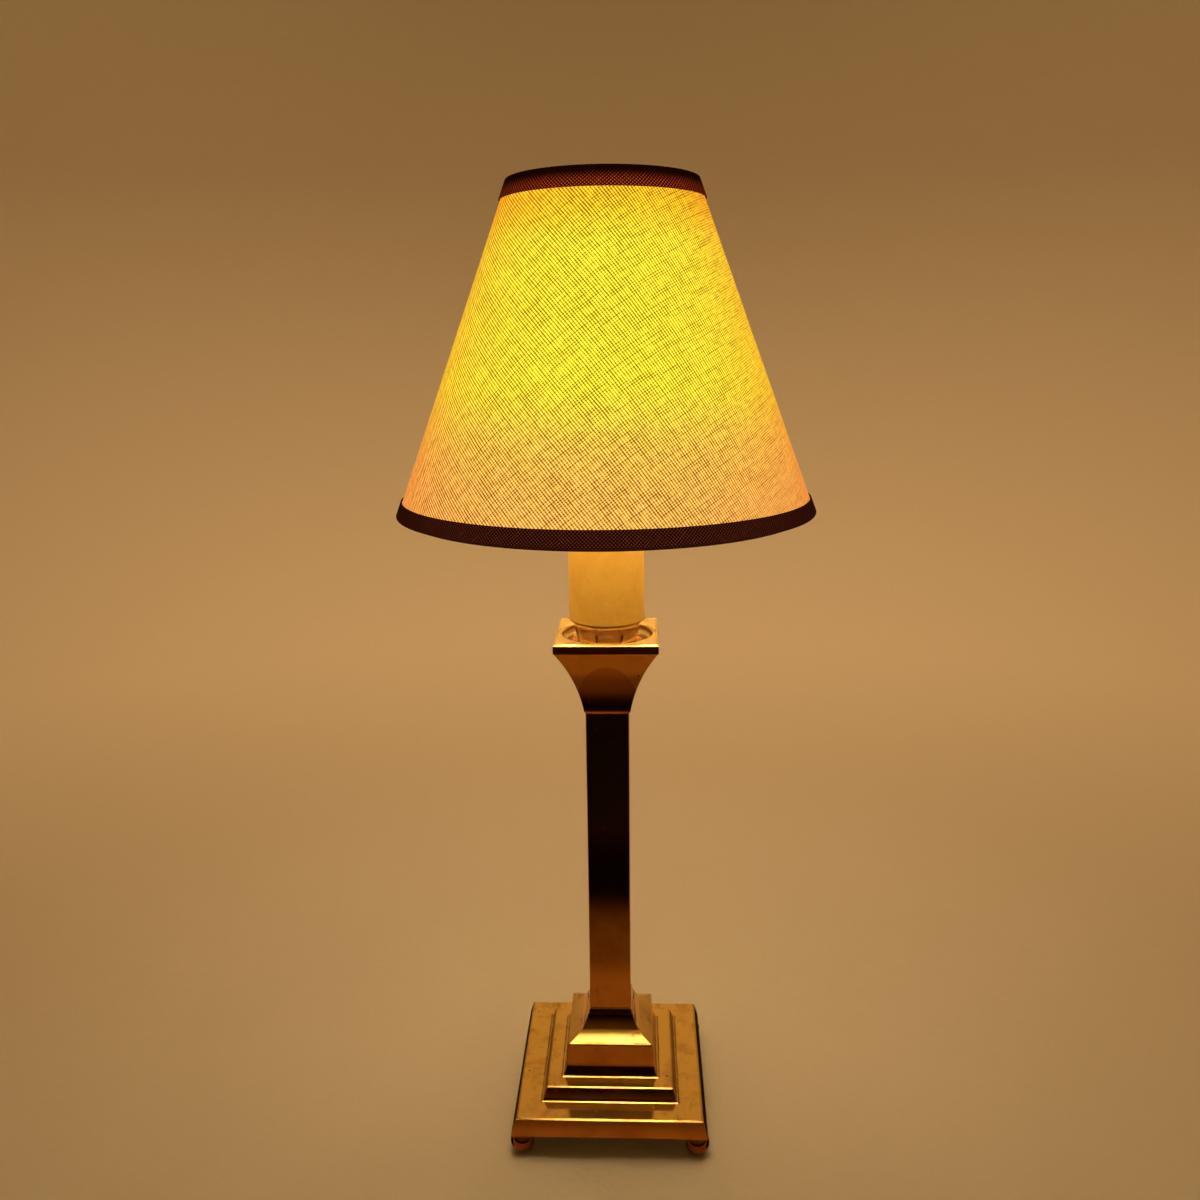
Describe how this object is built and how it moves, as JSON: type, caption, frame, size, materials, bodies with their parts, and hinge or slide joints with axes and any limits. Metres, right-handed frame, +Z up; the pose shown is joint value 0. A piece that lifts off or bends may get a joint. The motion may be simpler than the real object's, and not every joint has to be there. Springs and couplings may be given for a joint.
{
  "type": "table lamp",
  "caption": "Polished brass table lamp with a stepped square base on ball feet, square column, flared capital, candle sleeve and a linen cone shade clipped on its bulb",
  "frame": {"origin": "on the table, under the middle of the base", "axes": "+Z up the column, -Y to the front that the picture shows, +X to the right"},
  "size_m": [0.139, 0.139, 0.3326],
  "materials": {
    "polished_brass": "mirror polish with tarnish specks",
    "plain_brass": "plain turned",
    "zinc_steel": "zinc plated",
    "iron": "as cast",
    "rubber": "matte",
    "moulding": "matte",
    "ceramic": "glazed",
    "sleeve": "satin, lets some light through",
    "opal_glass": "opal",
    "black_glass": "gloss",
    "tungsten": "wire",
    "solder": "dull",
    "linen": "plain weave, lets light through",
    "tape": "matte woven tape"
  },
  "bodies": {
    "root": {"foot_front_left": "polished_brass", "foot_front_right": "polished_brass", "foot_rear_left": "polished_brass", "foot_rear_right": "polished_brass", "bottom_cover": "zinc_steel", "cord_grommet": "rubber", "base_plate": "polished_brass", "ballast_weight": "iron", "base_nut": "plain_brass", "base_washer": "zinc_steel", "base_step": "polished_brass", "plinth": "polished_brass", "column": "polished_brass", "tie_tube": "zinc_steel", "capital": "polished_brass", "candle_cup": "polished_brass", "cup_nut": "plain_brass", "holder_base": "moulding", "socket_insert": "ceramic", "terminal_screw_left": "plain_brass", "terminal_screw_right": "plain_brass", "holder_barrel": "moulding", "screw_shell": "plain_brass", "centre_contact": "plain_brass"},
    "sleeve": {"candle_sleeve": "sleeve"},
    "clip": {"clip_ring_front": "zinc_steel", "clip_ring_rear": "zinc_steel", "clip_lug_left": "zinc_steel", "clip_lug_right": "zinc_steel"},
    "bulb": {"bulb_cap": "plain_brass", "cap_insulator": "black_glass", "cap_tip": "solder", "bulb_glass": "opal_glass", "bulb_stem": "opal_glass", "filament": "tungsten"},
    "shade": {"shade_cover": "linen", "top_ring": "zinc_steel", "bottom_ring": "zinc_steel", "top_trim": "tape", "bottom_trim": "tape", "strut_left": "zinc_steel", "strut_right": "zinc_steel"}
  },
  "joints": [
    {"name": "sleeve_lift", "type": "slide", "parent": "root", "child": "sleeve", "axis": [0, 0, 1], "range_m": [0, 0.0095]},
    {"name": "bulb_rise", "type": "slide", "parent": "root", "child": "clip", "axis": [0, 0, 1], "range_m": [0, 0.01128]},
    {"name": "bulb_turn", "type": "hinge", "parent": "clip", "child": "bulb", "pos_m": [0, 0, 0.283], "axis": [0, 0, 1], "range_deg": [0, 1440.5]},
    {"name": "shade_tilt", "type": "hinge", "parent": "clip", "child": "shade", "pos_m": [0, 0, 0.283], "axis": [1, 0, 0], "range_deg": [-20, 20]}
  ],
  "couplings": [
    {"joint": "bulb_turn", "follows": "bulb_rise", "rad_per_m": 2228.1}
  ]
}
